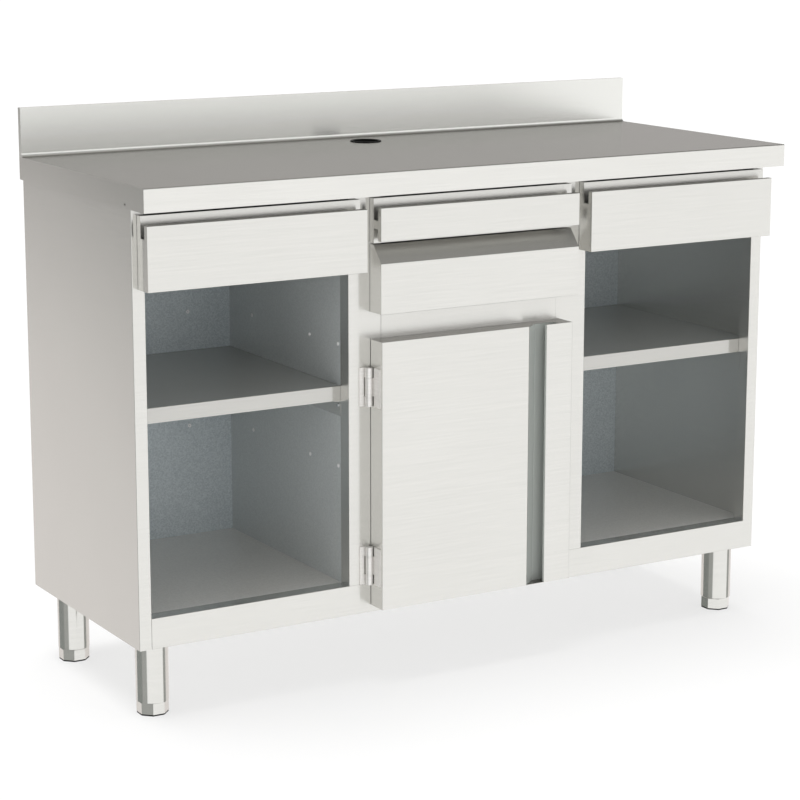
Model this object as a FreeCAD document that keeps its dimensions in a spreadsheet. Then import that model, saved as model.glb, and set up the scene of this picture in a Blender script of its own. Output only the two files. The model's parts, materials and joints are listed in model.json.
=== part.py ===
"""Stainless back counter: four drawers, a hinged door and two open bays on four levelling legs.

Millimetres. X runs along the counter, Y from the front to the wall, Z up from the floor. The origin
is under the middle of the worktop. Every length below is in the document's sheet and the sub-parts
are bound to its cells.
"""
import FreeCAD, Part
import math
import os
import re
import Sketcher
from FreeCAD import Placement, Rotation, Vector

SIZES = {
    # worktop
    "worktop_length": 1490, "worktop_depth": 600, "worktop_height": 1045, "worktop_edge": 46,
    "worktop_sheet": 1.5, "worktop_lip": 15, "nose_radius": 3,
    "upstand_height": 100, "upstand_depth": 12, "cove_radius": 8,
    "stiffener_width": 60, "stiffener_depth": 25, "stiffener_spacing": 200, "stiffener_end_gap": 27,
    "stiffener_lip": 12,
    "cable_hole_dia": 60, "cable_hole_offset": 7, "cable_hole_to_wall": 100,
    "grommet_rim": 3, "grommet_rim_height": 2.5, "grommet_wall": 2.5, "grommet_depth": 6,
    "side_hole_dia": 5, "side_hole_from_front": 84, "side_hole_above_edge": 8,
    # carcass
    "sheet": 1.2, "side_overhang": 3, "carcass_setback": 66, "rear_gap": 10, "flange": 20,
    "leg_height": 147, "rail_height": 61, "rail_flange": 32, "plate_gap": 1,
    "stile_width": 26, "stile_return": 33,
    "middle_opening": 415, "centre_stile_width": 74,
    "top_rail_drop": 40.5, "top_rail_depth": 30,
    "cross_rail_cover": 6, "cross_rail_height": 68,
    # shelves: folded trays on bearers that hook into the side stiles
    "shelf_top": 612.5, "shelf_thickness": 30, "shelf_lip": 12, "shelf_gap": 0.5,
    "bearer_height": 32, "bearer_sheet": 1.5, "bearer_leg": 15, "bearer_hook": 6.5,
    "row_pitch": 124, "row_below_shelf": 11, "fixing_front": 43, "fixing_middle": 161,
    "fixing_rear": 414, "fixing_from_wall": 100,
    "insert_dia": 6, "insert_height": 1.2, "screw_head_dia": 7, "screw_head": 2.2,
    # drawers
    "front_face": 21, "front_gap": 1, "front_from_side": 12, "outer_front_cover": 17.5,
    "centre_front_cover": 25.5, "front_drop": 73, "outer_front_height": 124, "slot_depth": 26,
    "front_leg": 12.6, "rear_leg": 15, "rear_leg_rise": 16,
    "upper_front_height": 66, "upper_skirt": 6, "upper_web": 17,
    "lower_front_drop": 75, "lower_front_height": 135, "lower_slope": 35, "lower_ledge": 14,
    "box_depth": 470, "box_lip": 8,
    "outer_box_rise": 14, "outer_box_height": 98,
    "upper_box_rise": 6, "upper_box_height": 53,
    "lower_box_rise": 12, "lower_box_height": 111,
    # telescopic slides
    "slide_length": 450, "slide_height": 45, "slide_thickness": 12.7, "slide_wall": 1.2,
    "slide_play": 0.4, "slide_setback": 34,
    "spacer_height": 60, "carrier_sheet": 1.5, "carrier_rise": 4,
    # door
    "door_face": 19.5, "door_gap": 1.5, "door_left_cover": 24.5, "door_right_cover": 12,
    "door_above_base": 15, "door_top_cover": 7,
    "channel_width": 106.7, "channel_slope": 30, "channel_depth": 24,
    "grip_width": 63.5, "grip_lip": 31.5, "grip_thickness": 6,
    # hinges
    "hinge_length": 78, "hinge_knuckle": 38, "hinge_barrel_dia": 15, "hinge_pin_dia": 8,
    "hinge_leaf": 2, "hinge_frame_reach": 26, "hinge_door_reach": 40, "hinge_play": 0.4,
    "pin_clearance": 0.05, "hinge_from_top": 94, "hinge_from_bottom": 85,
    # catch
    "catch_width": 14, "catch_depth": 30, "catch_height": 46, "catch_gap": 0.3,
    "strike_thickness": 1, "strike_margin": 4,
    # legs
    "leg_dia": 65, "leg_wall": 1.5, "leg_from_side": 51, "leg_from_front": 59, "leg_from_back": 77,
    "leg_plate": 76, "leg_plate_thickness": 3, "bearer_tube_width": 70, "bearer_tube_wall": 2,
    "foot_across_corners": 63, "foot_shoulder": 26, "foot_bevel": 1.2, "neck_dia": 57, "foot_top": 46,
    "foot_top_across_corners": 61.8, "tube_above_floor": 27, "pad_thickness": 3, "pad_inset": 0.5,
    "stud_dia": 12, "stud_top": 120, "stud_clearance": 0.05,
    "insert_gap": 0.3, "insert_thickness": 15,
    "plate_screw_dia": 10, "plate_screw_head": 4, "plate_screw_pitch": 56,
}

# Heights and planes that several sub-parts share, worked out from the sheet
FRONT = "(carcass_setback - worktop_depth / 2)"
REAR = "(worktop_depth / 2 - rear_gap)"
BACK_FACE = f"({REAR} - 2 * sheet)"
SIDE = "(worktop_length / 2 - side_overhang)"
SIDE_INNER = f"({SIDE} - sheet)"
STILE_EDGE = f"({SIDE} - stile_width)"
MIDDLE = "(middle_opening / 2)"
BAY_EDGE = f"({MIDDLE} + centre_stile_width)"
PARTITION = f"({BAY_EDGE} - sheet)"
RETURN_END = f"({FRONT} + stile_return)"
CARCASS_TOP = "(worktop_height - worktop_sheet)"
RAIL_TOP = "(leg_height + rail_height)"
FLOOR_TOP = f"({RAIL_TOP} - sheet)"
PLATE_FRONT = f"({FRONT} + leg_from_front - leg_plate / 2)"
TOP_RAIL = f"({CARCASS_TOP} - top_rail_drop)"
SHELF_SEAT = "(shelf_top - shelf_thickness)"
WORKTOP_FRONT = "(-worktop_depth / 2)"
EDGE_BOTTOM = "(worktop_height - worktop_edge)"
UPSTAND_TOP = "(worktop_height + upstand_height)"
FRONT_TOP = "(worktop_height - front_drop)"
REAR_LEG_TOP = f"({FRONT_TOP} + rear_leg_rise)"
SLOT_FLOOR = f"({FRONT_TOP} - slot_depth)"
OUTER_BOTTOM = f"({FRONT_TOP} - outer_front_height)"
UPPER_BOTTOM = f"({FRONT_TOP} - upper_front_height)"
LOWER_TOP = f"({FRONT_TOP} - lower_front_drop)"
LOWER_BOTTOM = f"({LOWER_TOP} - lower_front_height)"
CROSS_RAIL_TOP = f"({LOWER_BOTTOM} + cross_rail_cover)"
CROSS_RAIL_BOTTOM = f"({CROSS_RAIL_TOP} - cross_rail_height)"
OUTER_BOX = f"({OUTER_BOTTOM} + outer_box_rise)"
UPPER_BOX = f"({UPPER_BOTTOM} + upper_box_rise)"
LOWER_BOX = f"({LOWER_BOTTOM} + lower_box_rise)"

PAST = 1  # how far a cutting tool runs past the face it starts from
TOUCH = 0.01  # two points closer than this are one

document = FreeCAD.newDocument("back_counter")
sheet = document.addObject("Spreadsheet::Sheet", "sizes")
for row, (alias, value) in enumerate(SIZES.items(), start=1):
    sheet.set(f"A{row}", alias)
    sheet.set(f"B{row}", str(value))
    sheet.setAlias(f"B{row}", alias)
document.recompute()

sub_parts = []


def cells(text):
    """An expression in sheet aliases, with each alias pointing at its cell."""
    def cell(word):
        return f"sizes.{word.group()}" if word.group() in SIZES else word.group()
    return re.sub(r"[a-z]\w*", cell, str(text))


def bind(item, **expressions):
    """Tie properties to the sheet; a double underscore stands for the dot in a property's path."""
    for path, text in expressions.items():
        item.setExpression(path.replace("__", "."), cells(text))
    return item


def keep(item, label):
    """Mark a finished object as a sub-part, under the name of its file."""
    item.Label = label
    sub_parts.append(item)
    return item


def box(x_low, x_high, y_low, y_high, z_low, z_high):
    """A block between two corners."""
    item = document.addObject("Part::Box", "block")
    return bind(item, Length=f"({x_high}) - ({x_low})", Width=f"({y_high}) - ({y_low})",
                Height=f"({z_high}) - ({z_low})", Placement__Base__x=x_low, Placement__Base__y=y_low,
                Placement__Base__z=z_low)


TURNS = {"z": Rotation(), "x": Rotation(Vector(0, 1, 0), 90), "y": Rotation(Vector(1, 0, 0), -90)}


def rod(radius, x, y, z, length, along="z"):
    """A round bar that starts at a point and runs along an axis."""
    item = document.addObject("Part::Cylinder", "rod")
    item.Placement = Placement(Vector(), TURNS[along])
    return bind(item, Radius=radius, Height=length, Placement__Base__x=x, Placement__Base__y=y,
                Placement__Base__z=z)


def prism(corners, radius, x, y, z, height, along="z"):
    """A bar with flat sides, from a point along an axis."""
    item = document.addObject("Part::Prism", "prism")
    item.Polygon = corners
    item.Placement = Placement(Vector(), TURNS[along] * Rotation(Vector(0, 0, 1), 180 / corners))
    return bind(item, Circumradius=radius, Height=height, Placement__Base__x=x, Placement__Base__y=y,
                Placement__Base__z=z)


def joined(*items):
    """One solid from pieces that meet."""
    fuse = document.addObject("Part::MultiFuse", "joined")
    fuse.Shapes = list(items)
    fuse.Refine = True
    return fuse


def cut(base, *tools):
    """A piece with others taken out of it."""
    for tool in tools:
        result = document.addObject("Part::Cut", "cut")
        result.Base = base
        result.Tool = tool
        result.Refine = True
        base = result
    return base


def group(*items):
    """Separate solids in one sub-part."""
    compound = document.addObject("Part::Compound", "group")
    compound.Links = list(items)
    return compound


def mirrored(item):
    """The same piece on the other side of the counter's middle."""
    other = document.addObject("Part::Mirroring", "mirrored")
    other.Source = item
    other.Normal = Vector(1, 0, 0)
    return other


PLANES = {"z": "XY_Plane", "y": "XZ_Plane", "x": "YZ_Plane"}


def outline_sketch(body, along, outline, start):
    """A closed outline on a plane across an axis, each corner tied to the sheet."""
    plane = next(item for item in body.Origin.OriginFeatures if item.Role == PLANES[along])
    sketch = body.newObject("Sketcher::SketchObject", "outline")
    sketch.AttachmentSupport = (plane, [""])
    sketch.MapMode = "FlatFace"
    sketch.setExpression("AttachmentOffset.Base.z", cells(start))
    count = len(outline)
    values = [tuple(sheet.evalExpression(text) for text in corner) for corner in outline]
    points = [Vector(a, b, 0) for a, b in values]
    for index in range(count):
        sketch.addGeometry(Part.LineSegment(points[index], points[(index + 1) % count]), False)
    for index in range(count):
        sketch.addConstraint(Sketcher.Constraint("Coincident", index, 2, (index + 1) % count, 1))
    for index, corner in enumerate(outline):
        for kind, text, value in zip(("DistanceX", "DistanceY"), corner, values[index]):
            number = sketch.addConstraint(Sketcher.Constraint(kind, -1, 1, index, 1, value))
            sketch.setExpression(f"Constraints[{number}]", cells(text))
    return sketch


def pad(body, along, outline, low, high):
    """Adds a profile of constant section to a body, between two stations on an axis."""
    start = f"-({high})" if along == "y" else low
    feature = body.newObject("PartDesign::Pad", "pad")
    feature.Profile = outline_sketch(body, along, outline, start)
    bind(feature, Length=f"({high}) - ({low})")
    body.Tip = feature
    return feature


def pocket(body, along, outline, low, high):
    """Takes a profile of constant section out of a body, between two stations on an axis."""
    start = f"-({high})" if along == "y" else low
    feature = body.newObject("PartDesign::Pocket", "pocket")
    feature.Profile = outline_sketch(body, along, outline, start)
    feature.Reversed = True
    bind(feature, Length=f"({high}) - ({low})")
    body.Tip = feature
    return feature


def profile(along, outline, low, high):
    """A body of constant section, such as a folded sheet."""
    body = document.addObject("PartDesign::Body", "profile")
    pad(body, along, outline, low, high)
    return body


def bend(body, along, *corners, radius="sheet"):
    """Rounds the outside of the folds that run along an axis through the given corners."""
    document.recompute()
    across = [axis for axis in "xyz" if axis != along]
    spots = [[float(sheet.evalExpression(text)) for text in corner] for corner in corners]
    names = []
    for number, edge in enumerate(body.Shape.Edges, start=1):
        first, last = ([getattr(vertex.Point, axis) for axis in across]
                       for vertex in (edge.Vertexes[0], edge.Vertexes[-1]))
        if math.dist(first, last) < TOUCH and any(math.dist(first, spot) < TOUCH for spot in spots):
            names.append(f"Edge{number}")
    folded = body.Tip
    feature = body.newObject("PartDesign::Fillet", "bend")
    feature.Base = (folded, names)
    bind(feature, Radius=radius)
    body.Tip = feature
    return body


def c_section(across, web, toe, low, high, wall="sheet"):
    """The outline of a channel: its web lies on one plane, its two flanges reach another."""
    inner = f"({web} + {wall})" if across > 0 else f"({web} - {wall})"
    return [(toe, low), (web, low), (web, high), (toe, high), (toe, f"{high} - {wall}"),
            (inner, f"{high} - {wall}"), (inner, f"{low} + {wall}"), (toe, f"{low} + {wall}")]


# ---- Worktop: one folded sheet with an upstand against the wall -------------------------------------

def make_worktop():
    rear = "(worktop_depth / 2)"
    upstand = f"({rear} - upstand_depth)"
    half = "worktop_length / 2"
    worktop = profile("x", [
        (WORKTOP_FRONT, EDGE_BOTTOM), (WORKTOP_FRONT, "worktop_height"), (upstand, "worktop_height"),
        (upstand, UPSTAND_TOP), (rear, UPSTAND_TOP), (rear, EDGE_BOTTOM)], f"-{half}", half)
    bend(worktop, "x", (WORKTOP_FRONT, "worktop_height"), radius="nose_radius")
    bend(worktop, "x", (upstand, "worktop_height"), radius="cove_radius")
    wall = "worktop_sheet"
    pocket(worktop, "x", [
        (f"{WORKTOP_FRONT} + worktop_lip", f"{EDGE_BOTTOM} - {PAST}"),
        (f"{WORKTOP_FRONT} + worktop_lip", f"{EDGE_BOTTOM} + {wall}"),
        (f"{WORKTOP_FRONT} + {wall}", f"{EDGE_BOTTOM} + {wall}"), (f"{WORKTOP_FRONT} + {wall}", CARCASS_TOP),
        (f"{upstand} + {wall}", CARCASS_TOP), (f"{upstand} + {wall}", f"{UPSTAND_TOP} - {wall}"),
        (f"{rear} - {wall}", f"{UPSTAND_TOP} - {wall}"), (f"{rear} - {wall}", f"{EDGE_BOTTOM} - {PAST}")],
        f"-{half} + {wall}", f"{half} - {wall}")
    cable_hole = rod("cable_hole_dia / 2", "cable_hole_offset", f"{rear} - cable_hole_to_wall",
                     f"{CARCASS_TOP} - {PAST}", f"worktop_sheet + 2 * {PAST}")
    side_hole = rod("side_hole_dia / 2", f"-{half} - {PAST}", f"{WORKTOP_FRONT} + side_hole_from_front",
                    f"{EDGE_BOTTOM} + side_hole_above_edge", f"worktop_length + 2 * {PAST}", "x")
    keep(cut(worktop, cable_hole, side_hole), "worktop")


def make_stiffeners():
    end = f"({STILE_EDGE} - stiffener_end_gap)"
    pieces = []
    for side in (-1, 1):
        middle = f"{side} * stiffener_spacing / 2"
        left = f"({middle} - stiffener_width / 2)"
        right = f"({middle} + stiffener_width / 2)"
        low = f"({CARCASS_TOP} - stiffener_depth)"
        pieces.append(profile("x", [
            (f"{left} - stiffener_lip", CARCASS_TOP), (f"{left} - stiffener_lip", f"{CARCASS_TOP} - sheet"),
            (left, f"{CARCASS_TOP} - sheet"), (left, low), (right, low), (right, f"{CARCASS_TOP} - sheet"),
            (f"{right} + stiffener_lip", f"{CARCASS_TOP} - sheet"), (f"{right} + stiffener_lip", CARCASS_TOP),
            (f"{right} - sheet", CARCASS_TOP), (f"{right} - sheet", f"{low} + sheet"),
            (f"{left} + sheet", f"{low} + sheet"), (f"{left} + sheet", CARCASS_TOP)], f"-{end}", end))
    keep(group(*pieces), "worktop_stiffeners")


def make_grommet():
    place = ("cable_hole_offset", "worktop_depth / 2 - cable_hole_to_wall")
    rim = rod("cable_hole_dia / 2 + grommet_rim", *place, "worktop_height", "grommet_rim_height")
    sleeve = rod("cable_hole_dia / 2", *place, "worktop_height - grommet_depth", "grommet_depth")
    bore = rod("cable_hole_dia / 2 - grommet_wall", *place, f"worktop_height - grommet_depth - {PAST}",
               f"grommet_depth + grommet_rim_height + 2 * {PAST}")
    keep(cut(joined(rim, sleeve), bore), "cable_grommet")


# ---- Carcass: folded side panels, posts, rails, partitions, floor and back --------------------------

def make_side_panels():
    panel = profile("z", [
        (f"-{SIDE}", FRONT), (f"-{STILE_EDGE}", FRONT), (f"-{STILE_EDGE}", RETURN_END),
        (f"-{STILE_EDGE} - sheet", RETURN_END), (f"-{STILE_EDGE} - sheet", f"{FRONT} + sheet"),
        (f"-{SIDE_INNER}", f"{FRONT} + sheet"), (f"-{SIDE_INNER}", f"{REAR} - sheet"),
        (f"-{SIDE} + flange", f"{REAR} - sheet"), (f"-{SIDE} + flange", REAR), (f"-{SIDE}", REAR)],
        "leg_height", CARCASS_TOP)
    bend(panel, "z", (f"-{SIDE}", FRONT), (f"-{STILE_EDGE}", FRONT))
    foot_flange = box(f"-{SIDE_INNER}", f"-{SIDE} + leg_from_side - leg_plate / 2 - plate_gap",
                      f"{FRONT} + sheet", BACK_FACE, "leg_height", "leg_height + sheet")
    head_flange = box(f"-{SIDE_INNER}", f"-{SIDE} + flange", f"{FRONT} + sheet",
                      f"{BACK_FACE} - top_rail_depth", f"{CARCASS_TOP} - sheet", CARCASS_TOP)
    across_return = (f"-{STILE_EDGE} - sheet - {PAST}", f"-{STILE_EDGE} + {PAST}")
    cuts = [box(*across_return, f"{PLATE_FRONT} - plate_gap", f"{RETURN_END} + {PAST}",
                f"leg_height - {PAST}", "leg_height + leg_plate_thickness + plate_gap")]
    for step in (-1, 0, 1):
        seat = f"({SHELF_SEAT} + {step} * row_pitch)"
        cuts.append(box(*across_return, f"{RETURN_END} - bearer_hook - shelf_gap", f"{RETURN_END} + {PAST}",
                        f"{seat} - bearer_height - shelf_gap", f"{seat} + shelf_gap"))
    left = cut(joined(panel, foot_flange, head_flange), *cuts)
    keep(left, "left_side_panel")
    keep(mirrored(left), "right_side_panel")


def make_centre_stiles():
    left = profile("z", [
        (f"-{BAY_EDGE}", FRONT), (f"-{MIDDLE}", FRONT), (f"-{MIDDLE}", RETURN_END),
        (f"-{MIDDLE} - sheet", RETURN_END), (f"-{MIDDLE} - sheet", f"{FRONT} + sheet"),
        (f"-{PARTITION}", f"{FRONT} + sheet"), (f"-{PARTITION}", RETURN_END), (f"-{BAY_EDGE}", RETURN_END)],
        RAIL_TOP, TOP_RAIL)
    bend(left, "z", (f"-{BAY_EDGE}", FRONT), (f"-{MIDDLE}", FRONT))
    keep(left, "left_centre_stile")
    keep(mirrored(left), "right_centre_stile")


def make_partitions():
    wall = profile("y", c_section(1, f"-{PARTITION}", f"-{PARTITION} + flange", FLOOR_TOP, TOP_RAIL),
                   RETURN_END, BACK_FACE)
    tab = box(f"-{PARTITION}", f"-{PARTITION} + sheet", f"{FRONT} + sheet", RETURN_END, RAIL_TOP, TOP_RAIL)
    left = joined(wall, tab)
    keep(left, "left_partition")
    keep(mirrored(left), "right_partition")


def make_rails():
    toe = f"({PLATE_FRONT} - plate_gap)"
    base = profile("x", [
        (FRONT, "leg_height"), (toe, "leg_height"), (toe, "leg_height + sheet"),
        (f"{FRONT} + sheet", "leg_height + sheet"), (f"{FRONT} + sheet", FLOOR_TOP),
        (f"{FRONT} + rail_flange", FLOOR_TOP), (f"{FRONT} + rail_flange", RAIL_TOP), (FRONT, RAIL_TOP)],
        f"-{STILE_EDGE}", STILE_EDGE)
    keep(bend(base, "x", (FRONT, "leg_height"), (FRONT, RAIL_TOP)), "base_rail")
    keep(profile("x", c_section(1, FRONT, f"{FRONT} + top_rail_depth", TOP_RAIL, CARCASS_TOP),
                 f"-{STILE_EDGE}", STILE_EDGE), "front_top_rail")
    keep(profile("x", c_section(-1, BACK_FACE, f"{BACK_FACE} - top_rail_depth", TOP_RAIL, CARCASS_TOP),
                 f"-{SIDE_INNER}", SIDE_INNER), "rear_top_rail")
    cross = profile("x", c_section(1, FRONT, f"{FRONT} + top_rail_depth", CROSS_RAIL_BOTTOM, CROSS_RAIL_TOP),
                    f"-{MIDDLE}", MIDDLE)
    keep(bend(cross, "x", (FRONT, CROSS_RAIL_BOTTOM), (FRONT, CROSS_RAIL_TOP)), "centre_cross_rail")


def make_floor():
    under = f"({FLOOR_TOP} - sheet)"
    sheet_field = box(f"-{SIDE_INNER}", SIDE_INNER, RETURN_END, BACK_FACE, under, FLOOR_TOP)
    front_strip = box(f"-{STILE_EDGE}", STILE_EDGE, f"{FRONT} + sheet", RETURN_END, under, FLOOR_TOP)
    foot = "leg_height + sheet"
    rear_skirt = box(f"-{SIDE_INNER}", SIDE_INNER, f"{BACK_FACE} - sheet", BACK_FACE, foot, under)
    left_skirt = box(f"-{SIDE_INNER}", f"-{SIDE_INNER} + sheet", RETURN_END, BACK_FACE, foot, under)
    right_skirt = box(f"{SIDE_INNER} - sheet", SIDE_INNER, RETURN_END, BACK_FACE, foot, under)
    keep(joined(sheet_field, front_strip, rear_skirt, left_skirt, right_skirt), "floor_sheet")


def make_back_panel():
    keep(box(f"-{SIDE_INNER}", SIDE_INNER, BACK_FACE, f"{BACK_FACE} + sheet", "leg_height", CARCASS_TOP),
         "back_panel")


def make_slide_carriers():
    face = f"({MIDDLE} + sheet)"
    rear = f"({face} + carrier_sheet)"
    low = f"{CROSS_RAIL_TOP} + carrier_rise"
    wall = box(f"-{rear}", f"-{face}", f"{FRONT} + sheet", BACK_FACE, low, TOP_RAIL)
    outer = (f"-{face} - flange", f"-{face}")
    foot = box(*outer, f"{BACK_FACE} - carrier_sheet", BACK_FACE, low, TOP_RAIL)
    head = box(*outer, RETURN_END, BACK_FACE, f"{TOP_RAIL} - carrier_sheet", TOP_RAIL)
    left = joined(wall, foot, head)
    keep(group(left, mirrored(left)), "slide_carriers")


def make_slide_spacers():
    axis = f"{OUTER_BOX} + outer_box_height / 2"
    spacer = profile("y", c_section(-1, f"-{STILE_EDGE}", f"-{SIDE_INNER}", f"({axis} - spacer_height / 2)",
                                    f"({axis} + spacer_height / 2)"), RETURN_END, BACK_FACE)
    keep(group(spacer, mirrored(spacer)), "slide_spacers")


# ---- Shelves on bearers, with spare rows of fixings above and below ---------------------------------

def make_shelves():
    front, rear = f"({RETURN_END} + shelf_gap)", f"({BACK_FACE} - shelf_gap)"
    left, right = f"-({SIDE_INNER} - shelf_gap)", f"-({PARTITION} + shelf_gap)"
    tray = profile("x", [
        (front, SHELF_SEAT), (f"{front} + shelf_lip", SHELF_SEAT),
        (f"{front} + shelf_lip", f"{SHELF_SEAT} + sheet"),
        (f"{front} + sheet", f"{SHELF_SEAT} + sheet"), (f"{front} + sheet", "shelf_top - sheet"),
        (f"{rear} - sheet", "shelf_top - sheet"), (f"{rear} - sheet", SHELF_SEAT), (rear, SHELF_SEAT),
        (rear, "shelf_top"), (front, "shelf_top")], left, right)
    bend(tray, "x", (front, "shelf_top"))
    ends = [box(left, f"{left} + sheet", front, rear, SHELF_SEAT, "shelf_top"),
            box(f"{right} - sheet", right, front, rear, SHELF_SEAT, "shelf_top")]
    shelf = joined(tray, *ends)
    keep(shelf, "left_shelf")
    keep(mirrored(shelf), "right_shelf")


def make_shelf_bearers():
    low = f"({SHELF_SEAT} - bearer_height)"
    under = f"({SHELF_SEAT} - bearer_sheet)"
    wall = f"-{PARTITION}"

    def angle(plane):
        """An angle that stands against a wall, with its leg at the top, under the shelf."""
        toe, face = f"{plane} - bearer_leg", f"{plane} - bearer_sheet"
        return [(plane, low), (plane, SHELF_SEAT), (toe, SHELF_SEAT), (toe, under), (face, under),
                (face, low)]

    inner = profile("y", angle(wall), RETURN_END, BACK_FACE)
    rear = profile("x", angle(BACK_FACE), f"-{STILE_EDGE} + shelf_gap", f"{wall} - bearer_leg - shelf_gap")
    side = profile("y", c_section(-1, f"-{STILE_EDGE}", f"-{SIDE_INNER}", low, SHELF_SEAT),
                   f"{RETURN_END} - bearer_hook", BACK_FACE)
    left = [inner, rear, side]
    keep(group(*left, *[mirrored(piece) for piece in left]), "shelf_bearers")


def make_shelf_fixings():
    """Bright heads on the partition and the back: spare inserts in two rows, screws in the row in use."""
    wall = f"-{PARTITION}"
    depths = [f"{FRONT} + {alias}" for alias in ("fixing_front", "fixing_middle", "fixing_rear")]
    widths = [f"{wall} - fixing_from_wall", f"-{SIDE_INNER} + fixing_from_wall"]

    def heads(row, sides, radius, height, seat):
        """One row of flat heads that stand on the partition and the back, or on a sheet against them."""
        out = f"{seat} - {height}"
        return ([prism(sides, radius, f"{wall} - {out}", depth, row, height, "x") for depth in depths]
                + [prism(sides, radius, width, f"{BACK_FACE} - {out}", row, height, "y") for width in widths])

    row = f"({SHELF_SEAT} - row_below_shelf)"
    inserts = [head for spare in (f"({row} - row_pitch)", f"({row} + row_pitch)")
               for head in heads(spare, 12, "insert_dia / 2", "insert_height", "0")]
    screws = heads(row, 6, "screw_head_dia / 2", "screw_head", "bearer_sheet")
    keep(group(*inserts, *[mirrored(piece) for piece in inserts]), "shelf_inserts")
    keep(group(*screws, *[mirrored(piece) for piece in screws]), "bearer_screws")


# ---- Drawers: a hollow folded front, a tray behind it and two telescopic slides ---------------------

FACE = f"({WORKTOP_FRONT} + front_face)"
SEAM = f"({FRONT} - front_gap)"
GRIP = f"({FACE} + front_leg)"
REAR_LEG = f"({SEAM} - rear_leg)"


def outer_front(inset):
    """A front whose top edge is an open slot for the fingers, between a low front leg and a rear leg."""
    low, floor = f"{OUTER_BOTTOM} + {inset}", f"{SLOT_FLOOR} - {inset}"
    return [(f"{FACE} + {inset}", low), (f"{FACE} + {inset}", f"{FRONT_TOP} - {inset}"),
            (f"{GRIP} - {inset}", f"{FRONT_TOP} - {inset}"), (f"{GRIP} - {inset}", floor),
            (f"{REAR_LEG} + {inset}", floor), (f"{REAR_LEG} + {inset}", f"{REAR_LEG_TOP} - {inset}"),
            (f"{SEAM} - {inset}", f"{REAR_LEG_TOP} - {inset}"), (f"{SEAM} - {inset}", low)]


def upper_front(inset):
    """The same front, cut short: its web is open below too, where the drawer under it is pulled."""
    floor, roof = f"{SLOT_FLOOR} - {inset}", f"{SLOT_FLOOR} - upper_web + {inset}"
    low, skirt = f"{UPPER_BOTTOM} + {inset}", f"{UPPER_BOTTOM} - upper_skirt + {inset}"
    return [(f"{FACE} + {inset}", low), (f"{FACE} + {inset}", f"{FRONT_TOP} - {inset}"),
            (f"{GRIP} - {inset}", f"{FRONT_TOP} - {inset}"), (f"{GRIP} - {inset}", floor),
            (f"{REAR_LEG} + {inset}", floor), (f"{REAR_LEG} + {inset}", f"{REAR_LEG_TOP} - {inset}"),
            (f"{SEAM} - {inset}", f"{REAR_LEG_TOP} - {inset}"), (f"{SEAM} - {inset}", skirt),
            (f"{REAR_LEG} + {inset}", skirt), (f"{REAR_LEG} + {inset}", roof),
            (f"{GRIP} - {inset}", roof), (f"{GRIP} - {inset}", low)]


def lower_front(inset):
    """A front whose face leans back at the top, to lead the fingers over its edge."""
    low, top = f"{LOWER_BOTTOM} + {inset}", f"{LOWER_TOP} - {inset}"
    lean = f"atan(({SEAM} - lower_ledge - {FACE}) / lower_slope)"
    return [(f"{FACE} + {inset}", low),
            (f"{FACE} + {inset}", f"{LOWER_TOP} - lower_slope - {inset} * tan({lean} / 2)"),
            (f"{SEAM} - lower_ledge + {inset} * tan((90 deg - {lean}) / 2)", top),
            (f"{SEAM} - {inset}", top), (f"{SEAM} - {inset}", low)]


def slide_outlines(wall, out):
    """The three nested channels of a slide, from the wall outwards: fixed, middle and drawer member."""
    def along(text):
        return f"({wall} + {out} * ({text}))"
    half, play, thick = "slide_height / 2", "slide_play", "slide_wall"
    tip = along(f"slide_thickness - {thick} - {play}")
    fixed = c_section(out, along("0"), tip, f"-({half})", f"({half})", thick)
    middle_half = f"({half} - {thick} - {play})"
    middle = c_section(out, along(f"{thick} + {play}"), tip, f"-{middle_half}", middle_half, thick)
    inner_half = f"({half} - 2 * ({thick} + {play}))"
    inner = c_section(-out, along("slide_thickness"), along(f"2 * ({thick} + {play})"),
                      f"-{inner_half}", inner_half, thick)
    return fixed, middle, inner


def make_slides(name, walls, axis):
    """Two slides, one on each wall of a drawer's cell."""
    start = f"({FRONT} + slide_setback)"
    members = ([], [], [])
    for wall, out in walls:
        for bucket, outline in zip(members, slide_outlines(wall, out)):
            raised = [(a, f"{axis} + {b}") for a, b in outline]
            bucket.append(profile("y", raised, start, f"{start} + slide_length"))
    keep(group(*members[1]), f"{name}_slide_middles")
    keep(group(*members[2]), f"{name}_drawer_slides")
    return members[0]


def make_drawer(name, edges, walls, outline, bottom, height):
    """One drawer between two walls; gives back the slide members that stay on the walls."""
    front = profile("x", outline("0"), *edges)
    bend(front, "x", *outline("0")[:3])
    pocket(front, "x", outline("sheet"), f"{edges[0]} + sheet", f"{edges[1]} - sheet")
    left, right = f"({walls[0][0]} + slide_thickness)", f"({walls[1][0]} - slide_thickness)"
    top = f"({bottom} + {height})"
    window = box(f"{left} + box_lip", f"{right} - box_lip", f"{SEAM} - sheet - {PAST}", f"{SEAM} + {PAST}",
                 f"{bottom} + box_lip", f"{top} - box_lip")
    keep(cut(front, window), f"{name}_drawer_front")
    tray = profile("y", [
        (left, bottom), (right, bottom), (right, top), (f"{right} - box_lip", top),
        (f"{right} - box_lip", f"{top} - sheet"), (f"{right} - sheet", f"{top} - sheet"),
        (f"{right} - sheet", f"{bottom} + sheet"), (f"{left} + sheet", f"{bottom} + sheet"),
        (f"{left} + sheet", f"{top} - sheet"), (f"{left} + box_lip", f"{top} - sheet"),
        (f"{left} + box_lip", top), (left, top)], SEAM, f"{SEAM} + box_depth")
    ends = [box(left, right, SEAM, f"{SEAM} + sheet", bottom, top),
            box(left, right, f"{SEAM} + box_depth - sheet", f"{SEAM} + box_depth", bottom, top)]
    keep(joined(tray, *ends), f"{name}_drawer_box")
    return make_slides(name, walls, f"({bottom} + {height} / 2)")


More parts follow.
